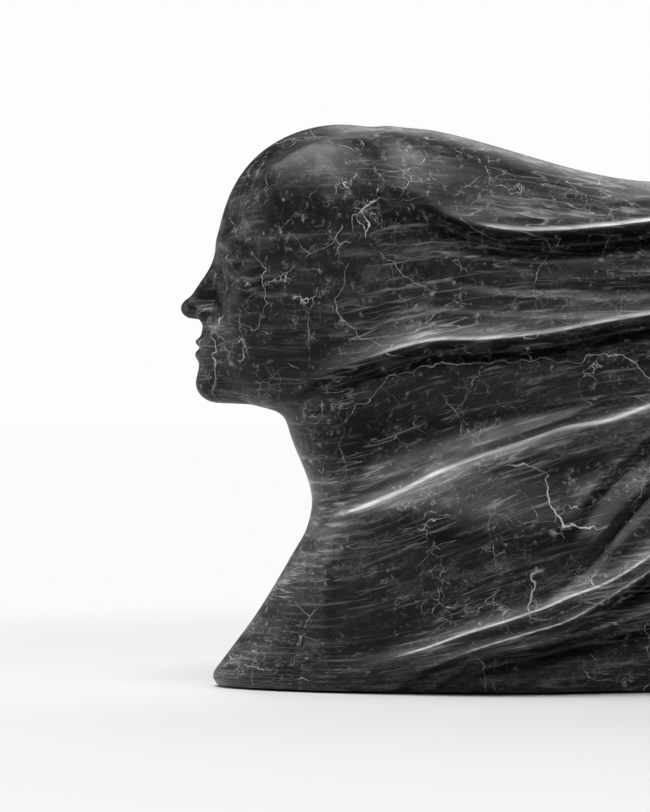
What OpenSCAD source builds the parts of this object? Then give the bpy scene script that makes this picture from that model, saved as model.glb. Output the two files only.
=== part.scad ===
// Windswept bust carved from one block of black marble.
// The head looks towards -X and the drapery streams back towards +X.
// Z is up, and the object rests on its pads at Z = 0.
// Its origin is on the resting plane, under the middle of its box.

/* [Bust] */
// Height of the crown above the resting plane
bust_h = 450; // [430:1:480]
// Width across the shoulders
shoulder_w = 212; // [190:1:230]
// How far the trailing drapery reaches behind the nose
tail_reach = 650; // [620:1:670]
// How far the head is tipped back, in degrees
head_tilt = 8; // [4:1:10]
// Height of the fold crests, as a share of the standard height
fold_relief = 1; // [0.5:0.1:1.2]

/* [Underside] */
// Diameter of a felt pad
pad_d = 40; // [30:1:44]
// Thickness of a felt pad
pad_t = 2; // [1.5:0.5:3]
// Outside diameter of a threaded anchor
anchor_d = 18; // [16:1:20]
// Length of a threaded anchor
anchor_l = 70; // [50:1:80]
// Diameter of the tapped hole, before the M12 thread is cut
tapped_d = 10.2; // [10.2:0.1:10.4]
// Depth of the tapped hole
tapped_l = 55; // [45:1:60]
// Thickness of the resin bed round an anchor
resin_t = 2; // [1:0.5:3]

/* [Mesh] */
// Rings from the base to the crown
rows = 62; // [40:1:64]
// Facets round the face, on each side
face_cols = 18; // [12:1:20]
// Facets along the drapery, on each side
side_cols = 22; // [10:1:24]

/* [Hidden] */
// Where the anchors and pads stand, on the carving's own numbers
ANCHORS = [["front", 150], ["rear", 350]];
PADS = [
    ["front", 92, 0],
    ["left_fore", 190, -58],
    ["right_fore", 190, 58],
    ["left_mid", 292, -62],
    ["right_mid", 292, 62],
    ["left_rear", 384, -48],
    ["right_rear", 384, 48]
];

// The carving's numbers below are for a bust of this height, in millimetres,
// measured from a plumb line just ahead of the nose. middle_x is the middle
// of its length, where the origin stands.
DESIGN_H = 450;
size = bust_h / DESIGN_H;
middle_x = 328;

stone_colour = [0.13, 0.13, 0.14];
steel_colour = [0.72, 0.73, 0.75];
resin_colour = [0.55, 0.53, 0.48];
felt_colour = [0.20, 0.20, 0.21];

// ---- Outline of the carving, seen from the side ----

base_z = 2;
crown_x = 165;
throat_x = 119;
throat_z = 140;
base_back_x = 430;
tail_sweep = 150;
// The drapery's own edges lie this far outside the first and last rings
edge_gap = 0.8;
// How far the tips trail, as [share of the height, distance] points
TIPS = [[0, -128], [0.09, -106], [0.17, -90], [0.26, -96], [0.36, -56], [0.47, -66], [0.57, -32],
    [0.67, -48], [0.76, -14], [0.84, -28], [0.93, -5], [1, -7]];

// ---- Head ----

// Where the plumb line of the forehead meets the level of the chin
head_at = [22, 227];
// Ellipsoids of the head, as [centre, radii], measured back from the
// forehead, out from the middle, and up from the chin
CRANIUM = [[99, 0, 145], [98, 77, 92]];
MIDFACE = [[62, 0, 100], [59, 60, 80]];
JAW = [[60, 0, 48], [55, 50, 45]];
CHIN = [[15, 0, 17], [17, 19, 15]];
CHEEK = [[36, 42, 86], [22, 18, 18]];
BROW = [[14, 24, 128], [12, 24, 8]];
SOCKET = [[3, 32, 113], [13, 18, 11]];
EYEBALL = [[19, 31, 112], [13, 14, 12]];
NOSE_TIP = [[-13, 0, 74], [10, 9, 8]];
NOSE_WING = [[-3, 12, 71], [9, 6, 7]];
UPPER_LIP = [[3, 0, 49], [9, 23, 5]];
LOWER_LIP = [[4, 0, 38], [9, 20, 6]];
nose_root = [8, 0, 120];
nose_ridge_r = 7;
// Behind this the head is too far away to count
head_back_x = 255;

// ---- Folds ----

// Each fold is a crest that runs back along the drapery: its line as [x, z]
// points, its height, its reach above and below the crest, the depth of the
// groove under it, and the x where it starts and where it is full.
FOLDS = [
    [[[150, 402], [186, 394], [210, 381], [234, 369], [266, 362], [298, 361], [338, 364],
        [386, 370], [520, 389], [680, 413]], 11, 28, 7, 6, 165, 240],
    [[[90, 360], [140, 357], [186, 352], [226, 342], [266, 334], [314, 328],
        [386, 328], [520, 346], [680, 380]], 4, 20, 8, 3, 85, 150],
    [[[90, 228], [120, 247], [150, 259], [186, 270], [226, 275], [282, 279],
        [330, 286], [386, 297], [520, 324], [680, 354]], 11, 26, 7, 6, 85, 165],
    [[[60, 30], [96, 100], [122, 125], [146, 143], [178, 158], [210, 171],
        [250, 186], [298, 202], [346, 214], [386, 227], [520, 264], [680, 324]],
        10, 16, 28, 0, 60, 140],
    [[[90, -4], [130, 11], [186, 25], [226, 41], [266, 57], [314, 77], [346, 90],
        [386, 113], [450, 150], [520, 190], [680, 270]], 8, 20, 11, 4, 80, 190],
    [[[150, -14], [210, 14], [250, 29], [298, 41], [346, 53], [386, 65],
        [520, 124], [680, 214]], 6, 16, 10, 4, 150, 260]
];

// ---- Underside ----

pad_chamfer = 0.5;
anchor_recess = 1;
groove_depth = 0.8;
groove_pitch = 12;
groove_w = 3;
fine = 96;

// ---- Helpers ----

function smooth(from, to, x) =
    let (t = min(1, max(0, (x - from) / (to - from))))
    t * t * (3 - 2 * t);

function soft_min(a, b, k) =
    let (h = max(k - abs(a - b), 0) / k)
    min(a, b) - h * h * k / 4;

function soft_max(a, b, k) = -soft_min(-a, -b, k);

function over(v, r) = [v.x / r.x, v.y / r.y, v.z / r.z];

// Distance from p to an ellipsoid given as [centre, radii]
function off(p, shape) =
    let (
        q = over(p - shape[0], shape[1]),
        near = norm(q),
        slope = norm(over(q, shape[1]))
    )
    near * (near - 1) / max(slope, 0.001);

// Height at x of a smooth curve through [x, z] points
function curve(points, x, i = 1) =
    i < len(points) - 1 && x > points[i].x ? curve(points, x, i + 1) :
    let (
        a = points[i - 1],
        b = points[i],
        before = points[max(i - 2, 0)],
        after = points[min(i + 1, len(points) - 1)],
        run = b.x - a.x,
        rise_a = (b.y - before.y) / (b.x - before.x) * run,
        rise_b = (after.y - a.y) / (after.x - a.x) * run,
        t = min(3, max(-2, (x - a.x) / run)),
        t2 = t * t,
        t3 = t2 * t
    )
    (2 * t3 - 3 * t2 + 1) * a.y + (t3 - 2 * t2 + t) * rise_a
        + (3 * t2 - 2 * t3) * b.y + (t3 - t2) * rise_b;

// ---- Outline ----

// Top edge, from the crown back to the tips
function top_z(x) = DESIGN_H - 1 - 46 * smooth(crown_x, 395, x) + 24 * smooth(400, 680, x);

// Lower edge, flat on the base and then sweeping up under the tail
function low_z(x) = base_z + tail_sweep * pow(max(x - base_back_x, 0) / 200, 2);

// Throat and chest edge, and above them the line where the drapery leaves the head
function front_x(z) =
    let (chest = 0.76 * (120 - z), toe = max(14 - z, 0) / 14)
    throat_x - (chest + sqrt(chest * chest + 100)) / 2
        - 24 * smooth(throat_z, 220, z) + 70 * smooth(230, 430, z) + 14 * toe * toe;

// Tips of the trailing locks, at share v of the height
function tail_x(v) = tail_reach + curve(TIPS, min(1, max(0, v)));

function share(x, z) = (z - low_z(x)) / (top_z(x) - low_z(x));

// ---- Drapery ----

function half_width(x, z) =
    let (
        along = x < 245 ? (x - 245) / 130 : (x - 245) / 200,
        up = z > 112 ? exp(-pow((z - 112) / 50, 2)) : 1 - 0.3 * pow((112 - z) / 110, 2),
        slab = 15 + 45 * (1 - smooth(270, 640, x)),
        nape = smooth(135, 175, z) * smooth(265, 215, z),
        waist = 9 * nape * smooth(90, 150, x) * smooth(430, 300, x)
    )
    slab - waist + (shoulder_w / 2 - 60) * exp(-along * along) * up;

// Square of the drapery's half thickness, rounded at its edges
function thickness(x, z) =
    let (
        w = half_width(x, z),
        front = (x - front_x(z)) / (56 + 60 * smooth(110, 0, z)),
        top = (top_z(x) + edge_gap - z) / 64,
        back = (tail_x(share(x, z)) - x) / 80,
        low = (z - low_z(x) + edge_gap) / 34 + 1 - smooth(395, 455, x),
        t = min(1, soft_min(soft_min(front, top, 0.3), soft_min(back, low, 0.3), 0.3))
    )
    w * w * t * (2 - t);

function off_drapery(p) =
    let (
        square = thickness(p.x, p.z),
        dx = thickness(p.x + 1, p.z) - square,
        dz = thickness(p.x, p.z + 1) - square
    )
    (p.y * p.y - square) / sqrt(4 * p.y * p.y + dx * dx + dz * dz + 25);

function fold(x, z, f) =
    let (
        up = z - curve(f[0], x),
        reach = up > 0 ? f[2] : f[3],
        groove = (up + 1.7 * f[3]) / f[3]
    )
    smooth(f[5], f[6], x) * (f[1] * exp(-pow(up / reach, 2)) - f[4] * exp(-groove * groove));

function all_folds(x, z, i = 0) =
    i == len(FOLDS) ? 0 : fold(x, z, FOLDS[i]) + all_folds(x, z, i + 1);

// Folds grow shallow where the drapery is thin and near its tips
function folds(x, z) =
    let (tip = tail_x(share(x, z)) - x)
    tip < 0 ? 0 : all_folds(x, z) * smooth(0, 26, half_width(x, z)) * smooth(0, 70, tip);

// ---- Face and skull ----

function in_head(p) =
    let (back = p.x - head_at.x, up = p.z - head_at.y)
    [back * cos(head_tilt) - up * sin(head_tilt), abs(p.y),
        back * sin(head_tilt) + up * cos(head_tilt)];

function off_nose(q) =
    let (
        tip = NOSE_TIP[0],
        run = nose_root - tip,
        t = min(1, max(0, (q - tip) * run / (run * run))),
        bridge = norm(q - tip - t * run) - nose_ridge_r
    )
    soft_min(soft_min(bridge, off(q, NOSE_TIP), 4), off(q, NOSE_WING), 4);

function off_head(p) =
    let (
        q = in_head(p),
        skull = soft_min(off(q, CRANIUM), off(q, MIDFACE), 20),
        jaw = soft_min(off(q, JAW), off(q, CHIN), 16),
        mask = soft_min(skull, jaw, 18),
        cheeks = soft_min(mask, off(q, CHEEK), 12),
        brows = soft_min(cheeks, off(q, BROW), 9),
        sockets = soft_max(brows, -off(q, SOCKET), 9),
        eyes = soft_min(sockets, off(q, EYEBALL), 2),
        nose = soft_min(eyes, off_nose(q), 7)
    )
    soft_min(soft_min(nose, off(q, UPPER_LIP), 3), off(q, LOWER_LIP), 4);

// Signed distance to the carving: below zero inside the stone
function off_stone(p) =
    let (
        drapery = off_drapery(p),
        form = p.x > head_back_x ? drapery : soft_min(drapery, off_head(p), 22)
    )
    form - fold_relief * folds(p.x, p.z);

// ---- Rings ----

// Each ring fans round the face, runs back along the drapery, and fans round
// the tips. The rings follow the flow of the folds: close together at the
// front of the base, and spread out behind. LEVELS crowds them on the face
// and the crown, as [share of the rings, share of the flow] points.
LEVELS = [[0, 0], [0.16, 0.22], [0.4, 0.66], [0.48, 0.72], [0.78, 0.88], [0.9, 0.96], [1, 1]];
tail_cols = 3;
half_cols = face_cols + side_cols + tail_cols;
// A spoke starts this far out, and closes in on the stone in at most these
// steps, until it is this near
spoke_l = 150;
steps = 24;
settled = 0.05;

function flow(u, x) = u * (1 - 0.86 * (1 - smooth(110, 400, x)) * (1 - u));

function ring_z(x, u) = low_z(x) + flow(u, x) * (top_z(x) - low_z(x));

function fan_front(v) = 165 - 55 * smooth(0.42, 0.58, v) + 34 * smooth(0.86, 1, v);

// Root and direction of spoke j
function spoke(j, u) =
    let (
        near = fan_front(flow(u, 100)),
        far = tail_x(u) - 14,
        along = min(1, max(0, (j - face_cols) / side_cols)),
        last = j - face_cols - side_cols
    )
    [near + (far - near) * along,
        j < face_cols ? 180 - 90 * pow(j / face_cols, 1.3) : last > 0 ? 90 - 90 * last / tail_cols : 90];

function on_spoke(s, u, r) =
    let (x = s[0] + r * cos(s[1]))
    [x, r * sin(s[1]), ring_z(x, u)];

function reach(s, u, r = spoke_l, n = steps) =
    let (gap = off_stone(on_spoke(s, u, r)))
    n == 0 || abs(gap) < settled ? r : reach(s, u, max(r - gap, 0.5), n - 1);

function half_ring(u) = [
    for (j = [0 : half_cols])
        let (s = spoke(j, u), p = on_spoke(s, u, reach(s, u)))
        [p.x, j == 0 || j == half_cols ? 0 : -p.y, p.z]
];

function full_ring(u) =
    let (half = half_ring(u))
    concat(half, [for (j = [half_cols - 1 : -1 : 1]) [half[j].x, -half[j].y, half[j].z]]);

// ---- Parts ----

// The two triangles between spokes a and b and the ring above them, cut
// along the slope of the folds on either side
function cell(a, b, n, near) =
    near ? [[a, a + n, b + n], [a, b + n, b]] : [[a, a + n, b], [b, a + n, b + n]];

module carving() {
    n = 2 * half_cols;
    rings = [for (i = [0 : rows]) full_ring(curve(LEVELS, i / rows))];
    walls = [
        for (i = [0 : rows - 1], j = [0 : n - 1])
            each cell(i * n + j, i * n + (j + 1) % n, n, j < half_cols)
    ];
    caps = [
        for (end = [0, rows * n], j = [0 : half_cols - 1])
            let (
                a = end + j,
                b = end + j + 1,
                c = end + (n - j - 1) % n,
                d = end + (n - j) % n,
                strip = j == 0 ? [[a, b, c]] :
                    j == half_cols - 1 ? [[a, b, d]] : [[a, b, c], [a, c, d]]
            )
            each [for (t = strip) end == 0 ? t : [t[0], t[2], t[1]]]
    ];
    polyhedron(
        points = [for (ring = rings, p = ring) size * [p.x - middle_x, p.y, p.z]],
        faces = concat(walls, caps)
    );
}

// From the middle of the stone's underside at x
module at_anchor(x) {
    translate([size * (x - middle_x), 0, size * base_z]) children();
}

module rod(d, from, to) {
    translate([0, 0, from]) cylinder(d = d, h = to - from, $fn = fine);
}

// A rod with rings cut round it, for the resin to grip
module grooved_rod() {
    difference() {
        rod(anchor_d, anchor_recess, anchor_recess + anchor_l);
        for (z = [groove_pitch : groove_pitch : anchor_l - groove_w])
            difference() {
                rod(anchor_d + 2, z, z + groove_w);
                rod(anchor_d - 2 * groove_depth, z - 1, z + groove_w + 1);
            }
    }
}

module carved_bust() {
    color(stone_colour)
    difference() {
        carving();
        for (place = ANCHORS)
            at_anchor(place[1])
                rod(anchor_d + 2 * resin_t, -1, anchor_recess + anchor_l + resin_t);
    }
}

module anchor(x) {
    color(steel_colour)
    at_anchor(x)
    difference() {
        grooved_rod();
        rod(tapped_d, anchor_recess - 1, anchor_recess + tapped_l);
    }
}

module anchor_resin(x) {
    color(resin_colour)
    at_anchor(x)
    difference() {
        rod(anchor_d + 2 * resin_t, anchor_recess, anchor_recess + anchor_l + resin_t);
        grooved_rod();
    }
}

module pad(x, y) {
    color(felt_colour)
    translate([size * (x - middle_x), size * y, size * base_z - pad_t]) {
        cylinder(d1 = pad_d - 2 * pad_chamfer, d2 = pad_d, h = pad_chamfer, $fn = fine);
        rod(pad_d, pad_chamfer, pad_t);
    }
}

carved_bust();
for (place = ANCHORS) {
    anchor(place[1]);
    anchor_resin(place[1]);
}
for (place = PADS)
    pad(place[1], place[2]);
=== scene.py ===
"""Looks for the windswept marble bust: a smooth carving over the CAD frame, in black veined marble."""

from collections import namedtuple

import bmesh
import bpy
import numpy as np
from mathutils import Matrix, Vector
from mathutils.geometry import tessellate_polygon


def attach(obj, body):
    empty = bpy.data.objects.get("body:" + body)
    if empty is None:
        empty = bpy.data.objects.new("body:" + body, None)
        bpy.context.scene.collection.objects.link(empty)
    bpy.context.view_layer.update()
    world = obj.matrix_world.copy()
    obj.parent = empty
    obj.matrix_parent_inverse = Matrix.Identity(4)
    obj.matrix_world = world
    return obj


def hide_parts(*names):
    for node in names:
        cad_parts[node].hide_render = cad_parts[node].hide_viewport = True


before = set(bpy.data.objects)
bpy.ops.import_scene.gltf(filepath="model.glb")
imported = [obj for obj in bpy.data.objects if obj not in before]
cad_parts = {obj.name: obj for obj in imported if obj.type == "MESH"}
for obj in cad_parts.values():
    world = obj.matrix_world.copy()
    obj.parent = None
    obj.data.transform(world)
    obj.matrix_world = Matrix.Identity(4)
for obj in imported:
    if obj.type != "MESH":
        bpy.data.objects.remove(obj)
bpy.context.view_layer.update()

# The carving's own numbers are in millimetres, from a plumb line ahead of the nose.
DESIGN_H = 450.0
MIDDLE_X = 328.0
BASE_Z = 2.0
CROWN_X = 165.0
SHOULDER_W = 212.0
TAIL_REACH = 650.0
HEAD_AT = (22.0, 227.0)
HEAD_TILT = np.radians(8)
# The first and last rings lie this far inside the stone's lower and upper edges
EDGE_GAP = 0.25
# The underside is flat as far back as this
FLAT_TO = 400.0
# The anchors stand in holes in the underside: where, how wide, and how high they end
ANCHORS_X = (150.0, 350.0)
HOLE_R = 11.0
HOLE_TOP = 75.0
HOLE_SIDES = 48
# The camera's place and what it sees, in metres
AIM = (-0.2024, 0, 0.224)
CAMERA_AWAY = 2.9
VIEW_WIDTH = 0.6496
SENSOR_WIDTH = 36


# ---------------------------------------------------------------- helpers
def smooth(start, end, x):
    """From 0 at start to 1 at end, easing in and out."""
    t = np.clip((x - start) / (end - start), 0, 1)
    return t * t * (3 - 2 * t)


def soft_min(a, b, k):
    """The smaller of two, with the seam between them rounded over k."""
    h = np.maximum(k - np.abs(a - b), 0) / k
    return np.minimum(a, b) - h * h * k / 4


def soft_max(a, b, k):
    return -soft_min(-a, -b, k)


def curve(points, x):
    """Height at x of a smooth curve through (x, z) points, straight on past its ends."""
    p = np.array(points, float)
    x = np.asarray(x, float)
    i = np.clip(np.searchsorted(p[:, 0], x), 1, len(p) - 1)
    a, b = p[i - 1], p[i]
    before, after = p[np.maximum(i - 2, 0)], p[np.minimum(i + 1, len(p) - 1)]
    run = b[..., 0] - a[..., 0]
    rise_a = (b[..., 1] - before[..., 1]) / (b[..., 0] - before[..., 0]) * run
    rise_b = (after[..., 1] - a[..., 1]) / (after[..., 0] - a[..., 0]) * run
    t = np.clip((x - a[..., 0]) / run, -2, 3)
    t2, t3 = t * t, t * t * t
    return (
        (2 * t3 - 3 * t2 + 1) * a[..., 1]
        + (t3 - 2 * t2 + t) * rise_a
        + (3 * t2 - 2 * t3) * b[..., 1]
        + (t3 - t2) * rise_b
    )


def within(points, x):
    """The same curve, level past its ends."""
    return curve(points, np.clip(x, points[0][0], points[-1][0]))


def off(q, centre, radii):
    """Distance from q to an ellipsoid, nearly true close to it."""
    v = [(q[i] - centre[i]) / radii[i] for i in range(3)]
    near = np.sqrt(v[0] ** 2 + v[1] ** 2 + v[2] ** 2)
    slope = np.sqrt(sum((v[i] / radii[i]) ** 2 for i in range(3)))
    return near * (near - 1) / np.maximum(slope, 1e-3)


def off_rod(q, a, b, ra, rb):
    """Distance from q to a rod from a to b that changes from radius ra to rb."""
    a, b = np.array(a, float), np.array(b, float)
    run = b - a
    t = np.clip(sum((q[i] - a[i]) * run[i] for i in range(3)) / (run @ run), 0, 1)
    return np.sqrt(sum((q[i] - a[i] - t * run[i]) ** 2 for i in range(3))) - ra - (rb - ra) * t


# ---------------------------------------------------------------- outline
# How far each lock ends from TAIL_REACH, from the lowest (0) to the topmost (1)
TIPS = [
    (0, -128), (0.09, -106), (0.17, -90), (0.26, -96), (0.36, -56), (0.47, -66), (0.57, -32),
    (0.67, -48), (0.76, -14), (0.84, -28), (0.93, -5), (1, -7),
]


def top_z(x):
    return DESIGN_H - 1 - 46 * smooth(CROWN_X, 395, x) + 24 * smooth(400, 680, x)


def low_z(x):
    return BASE_Z + 150 * (np.maximum(x - 430, 0) / 200) ** 2


def front_x(z):
    chest = 0.76 * (120 - z)
    toe = np.maximum(14 - z, 0) / 14
    leave = 119 - (chest + np.sqrt(chest * chest + 100)) / 2
    return leave - 24 * smooth(140, 220, z) + 70 * smooth(230, 430, z) + 14 * toe * toe


def tail_x(v):
    return TAIL_REACH + within(TIPS, v)


def share(x, z):
    """0 on the lower edge, 1 on the upper one."""
    return (z - low_z(x)) / (top_z(x) - low_z(x))


# ---------------------------------------------------------------- drapery
def half_width(x, z):
    """Half the drapery's width inside its rounded edges: a slab, a waist and the shoulders."""
    along = np.where(x < 245, (x - 245) / 130, (x - 245) / 200)
    up = np.where(z > 112, np.exp(-(((z - 112) / 50) ** 2)), 1 - 0.3 * ((112 - z) / 110) ** 2)
    slab = 15 + 45 * (1 - smooth(270, 640, x))
    waist = 9 * smooth(135, 175, z) * smooth(265, 215, z)
    waist = waist * smooth(90, 150, x) * smooth(430, 300, x)
    return slab - waist + (SHOULDER_W / 2 - 60) * np.exp(-along * along) * up


def thickness(x, z):
    """Square of the drapery's half width, rounded off towards every edge."""
    w = half_width(x, z)
    front = (x - front_x(z)) / (56 + 60 * smooth(110, 0, z))
    top = (top_z(x) + EDGE_GAP - 4 * smooth(215, 165, x) - z) / 64
    back = (tail_x(share(x, z)) - x) / 80
    low = (z - low_z(x) + EDGE_GAP) / 34 + 1 - smooth(395, 455, x)
    t = np.minimum(1, soft_min(soft_min(front, top, 0.3), soft_min(back, low, 0.3), 0.3))
    return w * w * t * (2 - t)


def off_drapery(p):
    x, y, z = p
    square = thickness(x, z)
    dx = thickness(x + 1, z) - square
    dz = thickness(x, z + 1) - square
    return (y * y - square) / np.sqrt(4 * y * y + dx * dx + dz * dz + 25)


# ---------------------------------------------------------------- folds
# Each fold has a crest line of (x, z) points, a height, its reach above and below the crest, the depth
# of the groove under it, where it starts and where it is full, and how pale its crest is painted: a
# painted highlight.
Fold = namedtuple("Fold", "line height above below groove start full pale")
FOLDS = [
    # the upper lock, from the crown back
    Fold(
        line=((150, 402), (186, 394), (210, 381), (234, 369), (266, 362), (298, 361), (338, 364),
              (386, 370), (520, 389), (680, 413)),
        height=12, above=32, below=6, groove=6, start=165, full=245, pale=1.0,
    ),
    Fold(
        line=((230, 382), (250, 374), (282, 371), (314, 371), (346, 374), (386, 379), (680, 418)),
        height=1.8, above=9, below=4, groove=1.2, start=225, full=285, pale=0.7,
    ),
    Fold(
        line=((230, 396), (266, 384), (314, 381), (386, 388), (680, 424)),
        height=1.4, above=9, below=4, groove=1, start=240, full=300, pale=0.6,
    ),
    # the bands under it
    Fold(
        line=((150, 360), (218, 357), (266, 355), (314, 357), (346, 359), (386, 365), (680, 408)),
        height=0, above=10, below=6, groove=6, start=170, full=260, pale=0.0,
    ),
    Fold(
        line=((90, 360), (140, 357), (186, 352), (222, 343), (250, 340), (314, 333), (386, 330),
              (520, 350), (680, 385)),
        height=3, above=14, below=6, groove=1, start=85, full=150, pale=0.5,
    ),
    Fold(
        line=((210, 336), (258, 327), (314, 324), (346, 324), (386, 327), (520, 345), (680, 380)),
        height=3, above=10, below=5, groove=2.5, start=190, full=270, pale=0.6,
    ),
    Fold(
        line=((90, 306), (106, 311), (186, 315), (266, 310), (346, 306), (386, 309), (520, 331),
              (680, 366)),
        height=2, above=10, below=6, groove=1, start=100, full=200, pale=0.3,
    ),
    Fold(
        line=((90, 288), (130, 293), (186, 298), (266, 293), (346, 293), (386, 300), (520, 324),
              (680, 358)),
        height=1.8, above=9, below=5, groove=1, start=120, full=210, pale=0.3,
    ),
    # from the jaw back
    Fold(
        line=((90, 228), (106, 238), (122, 248), (150, 259), (170, 265), (186, 270), (210, 275),
              (250, 276), (298, 281), (346, 290), (386, 297), (520, 324), (680, 354)),
        height=12, above=30, below=6, groove=7, start=85, full=165, pale=1.0,
    ),
    Fold(
        line=((150, 205), (202, 229), (282, 236), (386, 253), (520, 290), (680, 336)),
        height=1.6, above=16, below=10, groove=1, start=150, full=240, pale=0.2,
    ),
    # from the neck over the shoulder
    Fold(
        line=((60, 30), (96, 100), (122, 125), (134, 137), (162, 149), (186, 159), (210, 171),
              (234, 181), (266, 191), (290, 199), (314, 207), (346, 213), (370, 221), (386, 227),
              (520, 264), (680, 324)),
        height=11, above=15, below=34, groove=0, start=60, full=140, pale=1.0,
    ),
    Fold(
        line=((96, 112), (134, 146), (162, 157), (186, 166), (210, 177), (266, 197), (314, 213),
              (386, 233), (520, 270), (680, 329)),
        height=1.6, above=7, below=4, groove=1.2, start=110, full=170, pale=0.6,
    ),
    Fold(
        line=((130, 163), (162, 172), (186, 178), (234, 192), (290, 208), (386, 242), (520, 277),
              (680, 334)),
        height=1.5, above=10, below=5, groove=1, start=130, full=200, pale=0.5,
    ),
    # creases low behind the shoulder
    Fold(
        line=((290, 104), (314, 135), (338, 163), (362, 187), (386, 206), (420, 222), (470, 237),
              (520, 252), (680, 304)),
        height=2.5, above=10, below=6, groove=4, start=300, full=370, pale=0.8,
    ),
    Fold(
        line=((250, 53), (290, 82), (326, 113), (356, 144), (386, 172), (420, 195), (470, 218),
              (520, 236), (680, 290)),
        height=2.2, above=11, below=6, groove=3.5, start=265, full=340, pale=0.8,
    ),
    # low folds off the base
    Fold(
        line=((60, 3), (106, 8), (142, 19), (170, 27), (202, 37), (234, 49), (266, 59), (298, 70),
              (314, 77), (346, 89), (386, 113), (450, 150), (520, 190), (680, 270)),
        height=8, above=13, below=14, groove=1.5, start=70, full=190, pale=1.0,
    ),
    Fold(
        line=((150, -6), (182, 9), (202, 21), (242, 37), (282, 49), (314, 59), (346, 77),
              (386, 101), (450, 138), (520, 178), (680, 258)),
        height=8, above=12, below=5, groove=5, start=160, full=230, pale=1.0,
    ),
    Fold(
        line=((150, -14), (218, 17), (250, 32), (282, 39), (314, 47), (346, 55), (386, 68),
              (450, 96), (520, 130), (680, 214)),
        height=9, above=12, below=6, groove=5, start=190, full=260, pale=0.9,
    ),
    Fold(
        line=((220, -20), (300, 8), (386, 34), (450, 62), (520, 100), (680, 190)),
        height=3, above=14, below=8, groove=2, start=240, full=320, pale=0.4,
    ),
]
# A soft shoulder where the veil turns over the temple
VEIL = ((50, 375), (62, 392), (75, 405), (100, 423), (130, 436), (170, 446))
VEIL_HEIGHT = 2.6


def fold_offset(x, z, line):
    """Distance above a crest line, negative below it."""
    at = curve(line, x)
    slope = curve(line, x + 1) - at
    return (z - at) / np.sqrt(1 + slope * slope)


def fold(x, z, f):
    """Relief of one fold: a long slope above the crest, a short one below it, then the groove."""
    up = fold_offset(x, z, f.line)
    slope_above = np.exp(-(np.sqrt(up * up + 2) - 1.4) / f.above)
    slope_below = np.exp(-((up / f.below) ** 2))
    crest = np.where(up > 0, slope_above, slope_below)
    deep = np.exp(-(((up + 1.7 * f.below) / f.below) ** 2))
    return smooth(f.start, f.full, x) * (f.height * crest - f.groove * deep)


def folds(x, z):
    """Relief of all folds and the veil's edge, gone where the stone thins out to an edge."""
    tip = tail_x(share(x, z)) - x
    total = sum(fold(x, z, f) for f in FOLDS)
    up = fold_offset(x, z, VEIL)
    veil = VEIL_HEIGHT * np.where(up > 0, np.exp(-up / 9), np.exp(-((up / 30) ** 2)))
    total = total + veil * smooth(50, 75, x) * (1 - smooth(140, 185, x))
    total = total * smooth(0, 26, half_width(x, z))
    return total * smooth(0, 70, tip) * smooth(-2, 24, top_z(x) - z)


def far_shift(x, z, far):
    """How far the far side's folds run above or below the near side's, so that the two differ."""
    wave = 9 * np.sin((x - 200) / 90) + 2 * np.sin(z / 45)
    return far * wave * smooth(200, 320, x) * smooth(0, 60, top_z(x) - z)


def painted_highlights(x, z):
    """How strongly the fold crests are painted pale as a painted highlight, and the throat and chest's
    front edge as a painted reflection, from 0 to 1.
    """
    total = 0
    for f in FOLDS:
        up = fold_offset(x, z, f.line)
        band = np.exp(-np.abs(up) / np.where(up > 0, 0.55 * f.above, 0.35 * f.below))
        total = np.maximum(total, f.pale * smooth(f.start, f.full + 20, x) * band)
    # painted reflection: the throat and chest's front edge painted pale, fading back from the edge and
    # upwards
    edge = np.exp(-np.maximum(x - front_x(z), 0) / 16) * smooth(230, 150, z)
    return np.maximum(total, 0.75 * edge)


# ---------------------------------------------------------------- head
def in_head(p):
    """A point in the head's own axes: back from the face, out from the middle, up from the chin."""
    back, up = p[0] - HEAD_AT[0], p[2] - HEAD_AT[1]
    c, s = np.cos(HEAD_TILT), np.sin(HEAD_TILT)
    return back * c - up * s, np.abs(p[1]), back * s + up * c


def off_eyes(q, form):
    form = soft_max(form, -off(q, (1, 32, 112), (13, 17, 11)), 9)
    eye = (20, 31, 112)
    across = (q[1] - 31) / 14
    upper = soft_max(off(q, eye, (14, 15.8, 13.8)), 115.6 - 3.6 * across**2 - q[2], 0.8)
    lower = soft_max(off(q, eye, (13.5, 15.2, 13.2)), q[2] - 109 - 2.6 * across**2, 0.8)
    form = soft_min(form, upper, 4)
    form = soft_min(form, lower, 6)
    return np.minimum(form, off(q, eye, (12.1, 13.6, 12)))


def off_nose(q):
    bridge = off_rod(q, (8, 0, 119), (-11, 0, 76), 5.5, 7.2)
    tip = off(q, (-12.5, 0, 73.5), (9.5, 8.2, 7.6))
    wing = off(q, (0, 10.5, 70.5), (8, 4.8, 6.2))
    form = soft_min(soft_min(bridge, tip, 5), wing, 6)
    return soft_max(form, -off(q, (-5, 6, 64), (4.4, 2.6, 3)), 2.5)


def off_mouth(q, form):
    form = soft_min(form, off(q, (13, 0, 49), (15.5, 26, 25)), 12)
    upper = soft_min(off(q, (2.5, 6, 48), (9, 11, 4)), off(q, (8, 15, 46.2), (8.5, 9, 3)), 5)
    lower = off(q, (4, 0, 38), (9.5, 17, 5.2))
    form = soft_min(form, soft_min(upper, lower, 1), 4)
    across = q[1] ** 2
    parting = np.hypot(q[0] + 4.6 - 0.03 * across, q[2] - 43.5 - 0.004 * across)
    return soft_max(form, 0.8 - parting - np.maximum(q[1] - 17, 0), 2)


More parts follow.
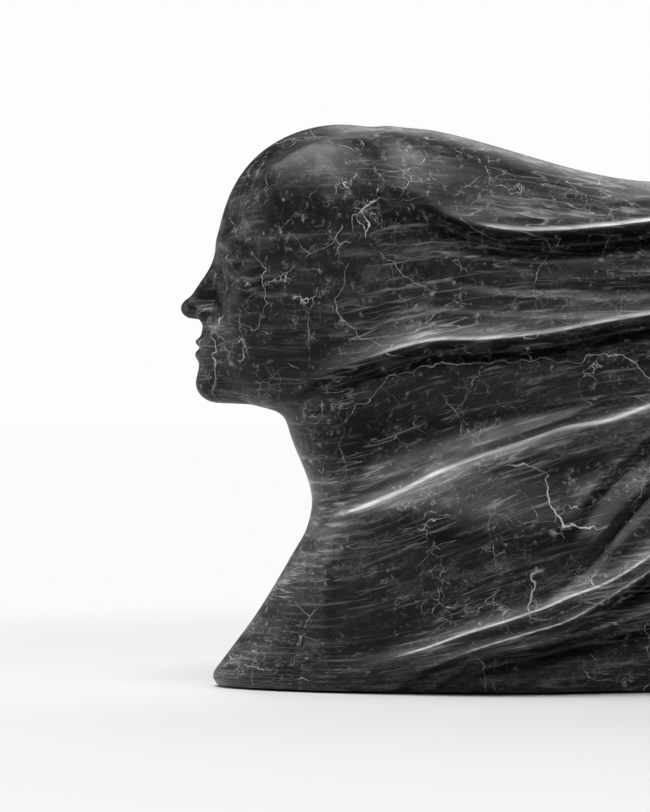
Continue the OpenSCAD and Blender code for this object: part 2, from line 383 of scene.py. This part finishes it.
def off_head(p):
    q = in_head(p)
    skull = soft_min(off(q, (99, 0, 145), (98, 77, 92)), off(q, (62, 0, 100), (59, 60, 80)), 20)
    jaw = soft_min(off(q, (60, 0, 48), (55, 50, 45)), off(q, (15, 0, 17), (17, 19, 15)), 18)
    form = soft_min(skull, jaw, 18)
    form = soft_min(form, off(q, (38, 42, 86), (22, 19, 18)), 18)
    form = soft_min(form, off(q, (16, 23, 128), (12, 27, 8)), 14)
    form = off_eyes(q, form)
    form = soft_min(form, off_nose(q), 7)
    return off_mouth(q, form)


def off_stone(p, far):
    """Signed distance to the stone, below zero inside it. far is 1 on the far side, 0 on the near."""
    x, _, z = p
    form = off_drapery(p)
    near_head = x < 255
    form[near_head] = soft_min(form[near_head], off_head([c[near_head] for c in p]), 16)
    return form - folds(x, z + far_shift(x, z, far))


# ---------------------------------------------------------------- rings
# Rings from the base to the crown, and spokes over half the face, along one side and over a tip
ROWS = 430
FACE_COLS = 120
SIDE_COLS = 190
TIP_COLS = 16
# Pairs of a share of the rings and a share of the way up. The rings lie closest over the face.
LEVELS = [(0, 0), (0.16, 0.22), (0.4, 0.64), (0.46, 0.70), (0.78, 0.88), (0.9, 0.96), (1, 1)]


def flow(u, x):
    """Share of the height that a ring is at: it runs lower at the front than at the tail."""
    return u * (1 - 0.86 * (1 - smooth(110, 400, x)) * (1 - u))


def crown_line(x):
    """Height of the stone's top on the middle plane, found by sinking onto it from above."""
    z = np.full(x.shape, 470.0)
    for _ in range(60):
        z = z - 0.6 * off_stone((x, 0 * x, z), 0 * x)
    return z


CROWN = np.arange(135.0, 256.0, 5)
CROWN_TOP = crown_line(CROWN)


def ring_top(x):
    """Height of the last ring, just under the stone's top."""
    return np.where(x < 250, np.interp(x, CROWN, CROWN_TOP) - EDGE_GAP, top_z(x))


def ring_z(x, u):
    return low_z(x) + flow(u, x) * (ring_top(x) - low_z(x))


def settle(root, turn, u, far):
    """How far along each spoke the stone's surface lies."""
    r = np.full(root.size, 150.0)
    moving = np.arange(root.size)
    for _ in range(30):
        x = root[moving] + r[moving] * np.cos(turn[moving])
        y = r[moving] * np.sin(turn[moving])
        gap = off_stone((x, y, ring_z(x, u[moving])), far[moving])
        r[moving] = np.maximum(r[moving] - gap, 0.4)
        moving = moving[np.abs(gap) > 0.01]
        if not moving.size:
            break
    return r


def carve():
    """Rings of points, from the middle of the face along the near side to the tips and back."""
    half = FACE_COLS + SIDE_COLS + TIP_COLS
    u = within(LEVELS, np.arange(ROWS + 1) / ROWS)[:, None]
    spoke = np.arange(2 * half)[None, :]
    far = spoke > half
    j = np.where(far, 2 * half - spoke, spoke)
    v = flow(u, 100.0)
    # the face's spokes fan out from here, nearer the front in the head than in the chest
    near = 165 - 55 * smooth(0.42, 0.58, v) + 34 * smooth(0.86, 1, v)
    along = np.clip((j - FACE_COLS) / SIDE_COLS, 0, 1) ** 1.3
    last = np.maximum(j - FACE_COLS - SIDE_COLS, 0) / TIP_COLS
    turn = np.radians(np.where(j < FACE_COLS, 180 - 90 * (j / FACE_COLS) ** 1.2, 90 - 90 * last))
    root = near + (tail_x(u) - 14 - near) * along
    turn, u, far = turn + 0 * root, u + 0 * root, far + 0 * root
    r = settle(root.ravel(), turn.ravel(), u.ravel(), far.ravel()).reshape(root.shape)
    x = root + r * np.cos(turn)
    y = r * np.sin(turn) * np.where((j == 0) | (j == half), 0, np.where(far > 0, 1, -1))
    return x, y, ring_z(x, u), u, far


def strips(start, ring_size, first, last):
    """Faces from one side of a ring to the other, spoke by spoke. The end ones are triangles."""
    for k in range(first, last):
        corners = [k, k + 1, (ring_size - k - 1) % ring_size, (ring_size - k) % ring_size]
        yield [start + c for c in dict.fromkeys(corners)]


def underside(points, ring_size, reach):
    """Flat base as far as spoke reach, with the anchor holes in it: more points, and the faces."""
    rim = list(range(reach + 1)) + list(range(ring_size - reach, ring_size))
    turns = np.linspace(0, 2 * np.pi, HOLE_SIDES, endpoint=False)
    more = []
    faces = []
    loops = [points[rim]]
    indices = list(rim)
    for middle in ANCHORS_X:
        start = len(points) + len(more)
        mouth = list(range(start, start + HOLE_SIDES))
        ceiling = [k + HOLE_SIDES for k in mouth]
        x = middle - MIDDLE_X + HOLE_R * np.cos(turns)
        y = HOLE_R * np.sin(turns)
        loops.append(np.stack([x, y, BASE_Z + 0 * x], -1))
        more += loops[-1].tolist()
        more += np.stack([x, y, HOLE_TOP + 0 * x], -1).tolist()
        indices += mouth
        for k in range(HOLE_SIDES):
            after = (k + 1) % HOLE_SIDES
            faces.append([mouth[k], mouth[after], ceiling[after], ceiling[k]])
        faces.append(ceiling)
    flat = tessellate_polygon([[Vector(p) for p in loop] for loop in loops])
    faces += [[indices[i] for i in face] for face in flat]
    return more, faces


def add_layer(mesh, name, kind, field, values):
    """One value or vector for each point, which the marble reads by its name."""
    mesh.attributes.new(name, kind, "POINT").data.foreach_set(field, values.ravel())


def build_bust():
    x, y, z, u, far = carve()
    n = x.shape[1]
    points = np.stack([x - MIDDLE_X, y, z], -1).reshape(-1, 3)
    i, j = np.meshgrid(np.arange(ROWS), np.arange(n), indexing="ij")
    a = i * n + j
    b = i * n + (j + 1) % n
    faces = np.stack([a, a + n, b + n, b], -1).reshape(-1, 4).tolist()
    reach = int(np.searchsorted(x[0, : n // 2], FLAT_TO))
    more, base = underside(points, n, reach)
    faces += base
    faces += strips(0, n, reach, n // 2)
    faces += strips(ROWS * n, n, 0, n // 2)
    mesh = bpy.data.meshes.new("marble_bust")
    mesh.from_pydata((0.001 * np.concatenate([points, more])).tolist(), [], faces)
    made = bmesh.new()
    made.from_mesh(mesh)
    bmesh.ops.recalc_face_normals(made, faces=made.faces)
    made.to_mesh(mesh)
    made.free()
    flow_map = np.stack([x / 1000, y / 1000, 0.45 * u], -1).reshape(-1, 3)
    flow_map = np.concatenate([flow_map, 0.001 * np.array(more)])
    add_layer(mesh, "flow", "FLOAT_VECTOR", "vector", flow_map)
    # painted highlight on the fold crests and painted reflection on the front edge, kept as the crest
    # layer
    crest = painted_highlights(x, z + far_shift(x, z, far)).ravel()
    add_layer(mesh, "crest", "FLOAT", "value", np.concatenate([crest, np.zeros(len(more))]))
    mesh.polygons.foreach_set("use_smooth", [True] * len(mesh.polygons))
    mesh.set_sharp_from_angle(angle=np.radians(50))
    obj = bpy.data.objects.new("marble_bust", mesh)
    bpy.context.collection.objects.link(obj)
    return obj


bust = build_bust()
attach(bust, "root")
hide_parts("carved_bust")


# ---------------------------------------------------------------- materials
class Shader:
    """A material and short calls that add nodes to it."""

    def __init__(self, name):
        self.material = bpy.data.materials.new(name)
        self.material.use_nodes = True
        self.tree = self.material.node_tree
        self.out = self.tree.nodes["Principled BSDF"]

    def node(self, kind, inputs, **props):
        made = self.tree.nodes.new("ShaderNode" + kind)
        for key, value in props.items():
            setattr(made, key, value)
        for key, value in inputs.items():
            self.set(made.inputs[key], value)
        return made

    def set(self, socket, value):
        if isinstance(value, bpy.types.NodeSocket):
            self.tree.links.new(value, socket)
        else:
            socket.default_value = value

    def math(self, op, a, b=0.0, clamp=False):
        return self.node("Math", {0: a, 1: b}, operation=op, use_clamp=clamp).outputs[0]

    def scaled(self, vector, by):
        return self.node("VectorMath", {0: vector, 1: by}, operation="MULTIPLY").outputs[0]

    def added(self, a, b):
        return self.node("VectorMath", {0: a, 1: b}, operation="ADD").outputs[0]

    def noise(self, vector, scale, detail=4.0, rough=0.55, colour=False):
        inputs = {"Vector": vector, "Scale": scale, "Detail": detail, "Roughness": rough}
        return self.node("TexNoise", inputs).outputs["Color" if colour else 0]

    def ramp(self, value, low, high, to_low=0.0, to_high=1.0):
        """From to_low to to_high as the value goes from low to high, easing in and out."""
        inputs = {"Value": value, "From Min": low, "From Max": high}
        inputs |= {"To Min": to_low, "To Max": to_high}
        return self.node("MapRange", inputs, interpolation_type="SMOOTHSTEP").outputs[0]

    def bump(self, height, strength, distance):
        inputs = {"Strength": strength, "Distance": distance, "Height": height}
        self.set(self.out.inputs["Normal"], self.node("Bump", inputs).outputs[0])

    def mix(self, part, a, b):
        """Colour a where part is 0, and b where it is 1."""
        made = self.node("Mix", {}, data_type="RGBA")
        self.set(made.inputs[0], part)
        self.set(made.inputs[6], a)
        self.set(made.inputs[7], b)
        return made.outputs[2]


def marble():
    """Black marble: a dark mottled ground under cracks, flecks and veins of pale calcite, and a
    painted highlight along the fold crests and the front edge.
    """
    m = Shader("marble")
    place = m.node("TexCoord", {}).outputs["Object"]
    along = m.node("Attribute", {}, attribute_name="flow").outputs["Vector"]
    crest = m.node("Attribute", {}, attribute_name="crest").outputs["Fac"]

    def times(a, b):
        return m.math("MULTIPLY", a, b)

    def brightest(a, b):
        return m.math("MAXIMUM", a, b)

    def shaken(scale, detail, by):
        """An offset that wanders at one scale."""
        centred = m.added(m.noise(place, scale, detail, colour=True), (-0.5, -0.5, -0.5))
        return m.scaled(centred, (by, by, by))

    def thread(field, level, width, strength):
        """A thin line where a field crosses a level."""
        return m.ramp(m.math("ABSOLUTE", m.math("SUBTRACT", field, level)), 0, width, strength, 0)

    def patches(scale, low, high):
        return m.ramp(m.noise(place, scale, 3), low, high)

    def cracks(vector, scale, width, strength, mask):
        """Angular hairlines, broken up by a mask."""
        inputs = {"Vector": vector, "Scale": scale}
        cells = m.node("TexVoronoi", inputs, feature="DISTANCE_TO_EDGE").outputs[0]
        return times(m.ramp(cells, 0, width * scale, strength, 0), mask)

    crackle = shaken(85, 4, 0.008)
    bent = m.added(m.added(place, shaken(11, 2, 0.045)), crackle)
    drift = m.scaled(shaken(7, 1, 1), (0.01, 0.01, 0.004))
    drawn = m.added(m.added(along, m.scaled(crackle, (0.6, 0.6, 0.25))), drift)

    # near-black ground: clouds drawn out along the flow, a fine mottle, and a crystal grain
    clouds = m.noise(m.scaled(drawn, (9, 9, 30)), 1, 6, 0.62)
    mottle = m.noise(m.scaled(drawn, (50, 50, 110)), 1, 6, 0.75)
    grain = m.noise(place, 380, 3, 0.6)
    ground = times(m.ramp(clouds, 0.36, 0.7, 0.05, 1), m.ramp(mottle, 0.38, 0.66, 0.1, 1.4))
    ground = times(ground, m.ramp(grain, 0.25, 0.75, 0.5, 1.5))
    ground = m.math("POWER", ground, 1.5)

    # hairline cracks filled with calcite: long ones, short ones, and lace in patches
    broken = m.ramp(m.noise(place, 38, 5, 0.65), 0.46, 0.58)
    rough = m.added(bent, shaken(40, 2, 0.02))
    flat = m.scaled(rough, (0.8, 0.8, 1.4))
    pale = cracks(bent, 12, 0.00034, 0.6, times(broken, patches(9, 0.46, 0.58)))
    short = cracks(flat, 27, 0.00028, 0.42, times(broken, patches(14, 0.42, 0.58)))
    lace = cracks(rough, 64, 0.0003, 0.3, times(broken, patches(17, 0.48, 0.62)))
    pale = brightest(pale, brightest(short, lace))

    # a few long veins that wander across the block
    for scale, level, width in ((2.6, 0.5, 0.0008), (4.4, 0.56, 0.0011)):
        field = m.noise(m.added(rough, (0.4, 0.1, 3 * scale)), scale, 2, 0.5)
        vein = times(thread(field, level, width, 0.6), patches(5 * scale, 0.44, 0.6))
        pale = brightest(pale, vein)

    # flecks, and bolder blotches here and there
    flecks = m.ramp(m.noise(drawn, 170, 5, 0.72), 0.54, 0.74, 0, 0.36)
    flecks = times(flecks, patches(21, 0.36, 0.62))
    blotch = m.ramp(m.noise(drawn, 62, 7, 0.8), 0.58, 0.7, 0, 0.6)
    blotch = times(blotch, patches(9, 0.56, 0.66))
    pale = brightest(pale, brightest(flecks, blotch))

    # veining combed along the folds, made stronger on their crests as a painted highlight, and a
    # painted highlight line and glow along the crests
    broad = m.noise(m.scaled(drawn, (9, 9, 70)), 1, 4, 0.65)
    combed = m.noise(m.scaled(drawn, (21, 21, 240)), 1, 5, 0.7)
    crest_highlight_gain = m.math("ADD", times(crest, 0.75), 0.25)
    wisps = times(m.ramp(combed, 0.51, 0.7, 0, 0.5), m.ramp(broad, 0.36, 0.64, 0.15, 1.1))
    fine = thread(m.noise(m.scaled(drawn, (5, 5, 60)), 1, 3, 0.55), 0.5, 0.011, 0.4)
    fine = times(fine, times(m.math("ADD", crest_highlight_gain, 0.12), patches(12, 0.4, 0.6)))
    pale = brightest(pale, brightest(times(wisps, crest_highlight_gain), fine))
    # painted highlight: a pale line on the crests and a pale glow spreading from them
    crest_highlight_line = times(m.ramp(crest, 0.78, 0.99, 0, 0.95), m.ramp(combed, 0.36, 0.6, 0.35, 1))
    crest_highlight_glow = times(m.math("POWER", crest, 1.8), m.ramp(broad, 0.32, 0.7, 0.03, 0.26))
    pale = m.math("ADD", brightest(pale, crest_highlight_line), crest_highlight_glow, clamp=True)

    base = m.mix(ground, (0.0008, 0.0008, 0.001, 1), (0.046, 0.047, 0.049, 1))
    # the pale colour holds both the calcite veins and the painted crest highlights
    m.set(m.out.inputs["Base Color"], m.mix(pale, base, (0.72, 0.72, 0.73, 1)))
    m.set(m.out.inputs["Roughness"], m.ramp(m.noise(place, 60, 4), 0.3, 0.7, 0.33, 0.48))
    m.out.inputs["Specular IOR Level"].default_value = 0.22
    m.bump(m.math("ADD", times(combed, 0.5), times(grain, 0.25)), 0.25, 0.0012)
    return m.material


def turned_steel():
    """Rings from the lathe round the anchor's own axis, with a dull zinc bloom."""
    m = Shader("turned_steel")
    place = m.node("TexCoord", {}).outputs["Generated"]
    centred = m.scaled(m.added(place, (-0.5, -0.5, 0)), (1, 1, 0))
    out = m.node("VectorMath", {0: centred}, operation="LENGTH").outputs["Value"]
    rings = m.noise(m.node("CombineXYZ", {"X": out}).outputs[0], 120, 3)
    bloom = m.noise(place, 6, 5, 0.65)
    m.set(m.out.inputs["Base Color"], m.mix(bloom, (0.50, 0.50, 0.51, 1), (0.66, 0.67, 0.68, 1)))
    m.out.inputs["Metallic"].default_value = 1
    m.set(m.out.inputs["Roughness"], m.ramp(bloom, 0.3, 0.7, 0.24, 0.4))
    m.bump(rings, 0.3, 0.0002)
    return m.material


def cured_resin():
    """Stone adhesive: buff, faintly mottled, with small pits where air came out."""
    m = Shader("cured_resin")
    place = m.node("TexCoord", {}).outputs["Object"]
    shade = m.mix(m.noise(place, 160, 5), (0.24, 0.21, 0.16, 1), (0.40, 0.37, 0.31, 1))
    m.set(m.out.inputs["Base Color"], shade)
    m.out.inputs["Roughness"].default_value = 0.42
    pits = m.node("TexVoronoi", {"Vector": place, "Scale": 700}).outputs[0]
    m.bump(m.ramp(pits, 0, 0.35), 0.4, 0.0003)
    return m.material


def pressed_felt():
    """Matted wool: short fibres in every direction, darker where it is pressed."""
    m = Shader("pressed_felt")
    place = m.node("TexCoord", {}).outputs["Object"]
    curl = m.added(place, m.scaled(m.noise(place, 300, 2, colour=True), (0.004, 0.004, 0.004)))
    wool = m.noise(m.scaled(curl, (1, 1, 3)), 900, 5, 0.7)
    shade = m.mix(m.noise(place, 90, 3), (0.018, 0.018, 0.019, 1), (0.045, 0.045, 0.047, 1))
    lit = m.ramp(wool, 0.45, 0.7, 0, 0.5)
    m.set(m.out.inputs["Base Color"], m.mix(lit, shade, (0.12, 0.12, 0.125, 1)))
    m.out.inputs["Roughness"].default_value = 0.95
    m.out.inputs["Sheen Weight"].default_value = 0.35
    m.bump(wool, 0.7, 0.0006)
    return m.material


bust.data.materials.append(marble())
# the other CAD nodes are shown as they are, each kind with its own finish
finishes = {"_anchor": turned_steel(), "_resin": cured_resin(), "pad_": pressed_felt()}
for name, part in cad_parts.items():
    for mark, finish in finishes.items():
        if name.endswith(mark) or name.startswith(mark):
            for slot in part.material_slots:
                slot.material = finish


# ---------------------------------------------------------------- stage
def floor_finish():
    """Pale and matt near the bust, and as white as the studio's walls far from it."""
    m = Shader("floor")
    m.out.inputs["Base Color"].default_value = (0.62, 0.62, 0.62, 1)
    m.out.inputs["Roughness"].default_value = 0.6
    m.out.inputs["Specular IOR Level"].default_value = 0.2
    spot = m.node("TexCoord", {}).outputs["Object"]
    away = m.node("VectorMath", {0: spot}, operation="LENGTH").outputs["Value"]
    glare = m.node("Emission", {"Color": (1, 1, 1, 1), "Strength": 0.96})
    inputs = {0: m.ramp(away, 0.25, 1.3), 1: m.out.outputs[0], 2: glare.outputs[0]}
    fade = m.node("MixShader", inputs)
    m.set(m.tree.nodes["Material Output"].inputs["Surface"], fade.outputs[0])
    return m.material


def build_floor():
    bpy.ops.mesh.primitive_plane_add(size=60, location=(0, 0, 0))
    floor = bpy.context.object
    floor.name = "floor"
    floor.data.materials.append(floor_finish())


def build_studio():
    """White walls for the camera, and a dimmer room round the bust, so that the stone stays black."""
    world = bpy.data.worlds.new("studio")
    bpy.context.scene.world = world
    world.use_nodes = True
    nodes, links = world.node_tree.nodes, world.node_tree.links
    seen = nodes.new("ShaderNodeLightPath").outputs["Is Camera Ray"]
    direction = nodes.new("ShaderNodeTexCoord").outputs["Generated"]
    split = nodes.new("ShaderNodeSeparateXYZ")
    links.new(direction, split.inputs[0])
    lift = nodes.new("ShaderNodeMapRange")
    lift.interpolation_type = "SMOOTHSTEP"
    links.new(split.outputs["Z"], lift.inputs["Value"])
    for key, value in (("From Min", 0.1), ("From Max", 0.5), ("To Min", 0.28), ("To Max", 0.1)):
        lift.inputs[key].default_value = value
    strength = nodes.new("ShaderNodeMix")
    links.new(seen, strength.inputs[0])
    links.new(lift.outputs[0], strength.inputs[2])
    strength.inputs[3].default_value = 0.98
    background = nodes["Background"]
    links.new(strength.outputs[0], background.inputs["Strength"])
    background.inputs["Color"].default_value = (1, 1, 1, 1)


def area_light(name, at, aim, size, power):
    light = bpy.data.lights.new(name, "AREA")
    light.shape = "RECTANGLE"
    light.size, light.size_y = size
    light.energy = power
    obj = bpy.data.objects.new(name, light)
    obj.location = at
    obj.rotation_euler = (Vector(aim) - Vector(at)).to_track_quat("-Z", "Y").to_euler()
    bpy.context.collection.objects.link(obj)


def build_camera():
    """Level with the middle of the bust and square to its side, with a long lens."""
    camera = bpy.data.objects.new("camera", bpy.data.cameras.new("camera"))
    bpy.context.collection.objects.link(camera)
    camera.data.sensor_width = SENSOR_WIDTH
    camera.location = Vector(AIM) + Vector((0, -CAMERA_AWAY, 0))
    camera.rotation_euler = (np.pi / 2, 0, 0)
    camera.data.lens = SENSOR_WIDTH * CAMERA_AWAY / VIEW_WIDTH
    bpy.context.scene.camera = camera


build_floor()
build_studio()
bpy.context.scene.view_settings.view_transform = "Standard"
area_light("key", (-0.5, -0.35, 2.0), (0, 0, 0.25), (1.8, 1.1), 60)
area_light("side", (-2.2, -0.1, 0.7), (-0.1, 0, 0.2), (1.6, 1.6), 16)
area_light("rim", (0.5, 1.3, 1.5), (0, 0, 0.3), (1.6, 0.8), 12)
build_camera()
